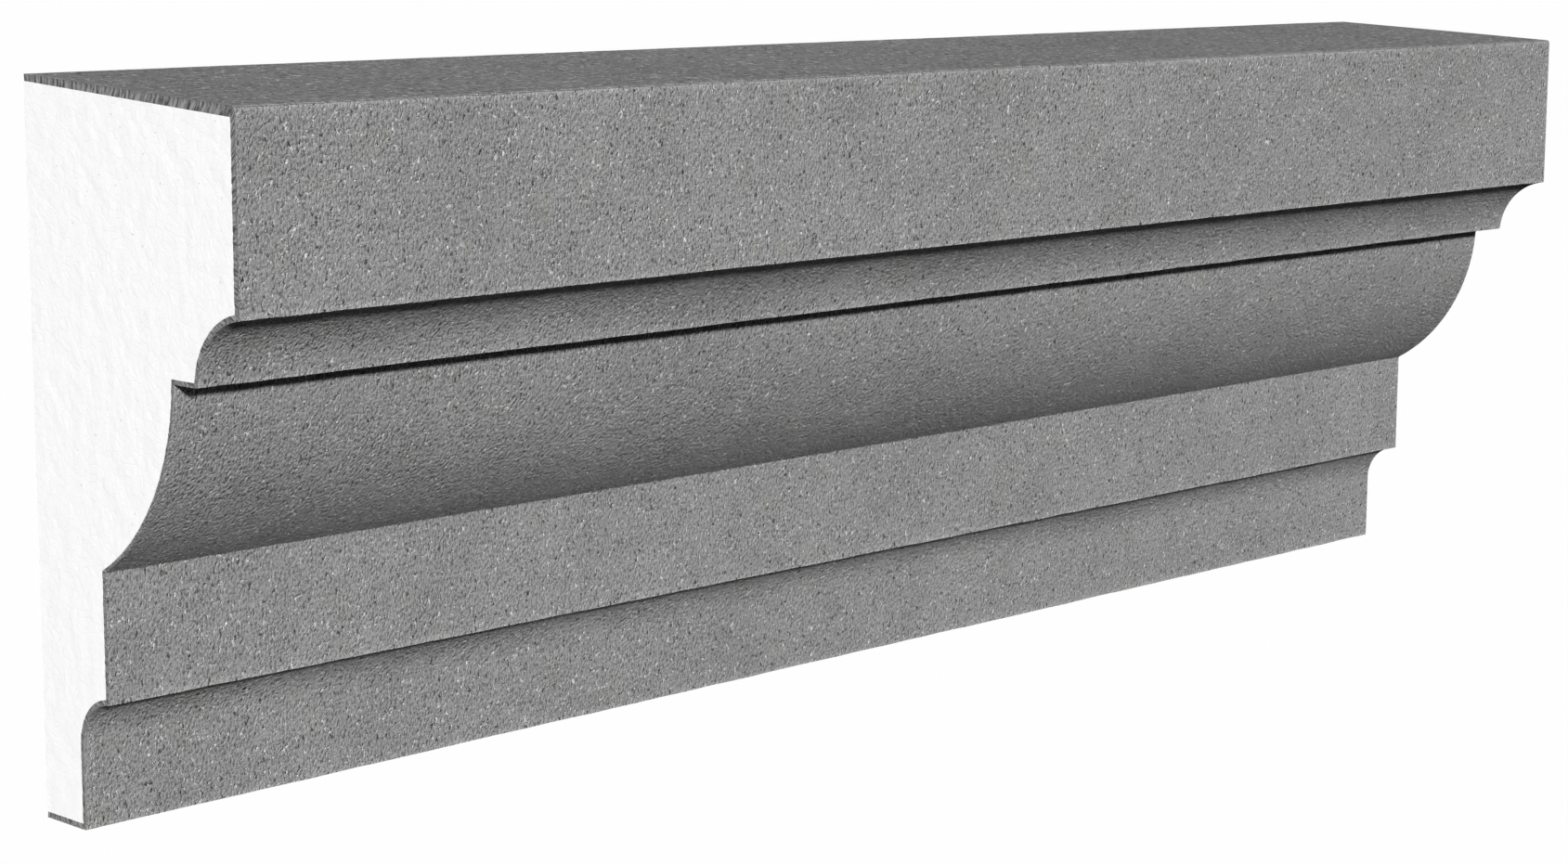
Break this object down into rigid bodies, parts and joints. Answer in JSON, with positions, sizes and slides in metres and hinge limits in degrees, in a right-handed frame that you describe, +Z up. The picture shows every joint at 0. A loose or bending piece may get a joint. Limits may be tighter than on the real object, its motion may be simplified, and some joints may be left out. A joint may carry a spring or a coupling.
{
  "type": "cornice moulding",
  "caption": "Straight exterior cornice moulding with a stepped, curved profile: a foam core in a thin sanded cement coat, bonded by its flat back to a wall.",
  "frame": {"origin": "middle of the flat wall face", "axes": "+X along the moulding, +Y out of the back into the wall, -Y the way the profile projects, +Z up"},
  "size_m": [1, 0.155, 0.338],
  "materials": {
    "white_polystyrene": "expanded polystyrene, hot-wire cut profile and sawn ends, matt white",
    "glass_fibre_mesh": "woven alkali-resistant glass-fibre mesh, matt off-white",
    "base_mortar": "polymer-modified cement mortar, matt grey",
    "sanded_mortar": "fine sanded cement finish, matt grey"
  },
  "bodies": {
    "root": {"eps_core": "white_polystyrene", "glass_mesh": "glass_fibre_mesh", "base_coat": "base_mortar", "finish_coat": "sanded_mortar"}
  },
  "joints": []
}
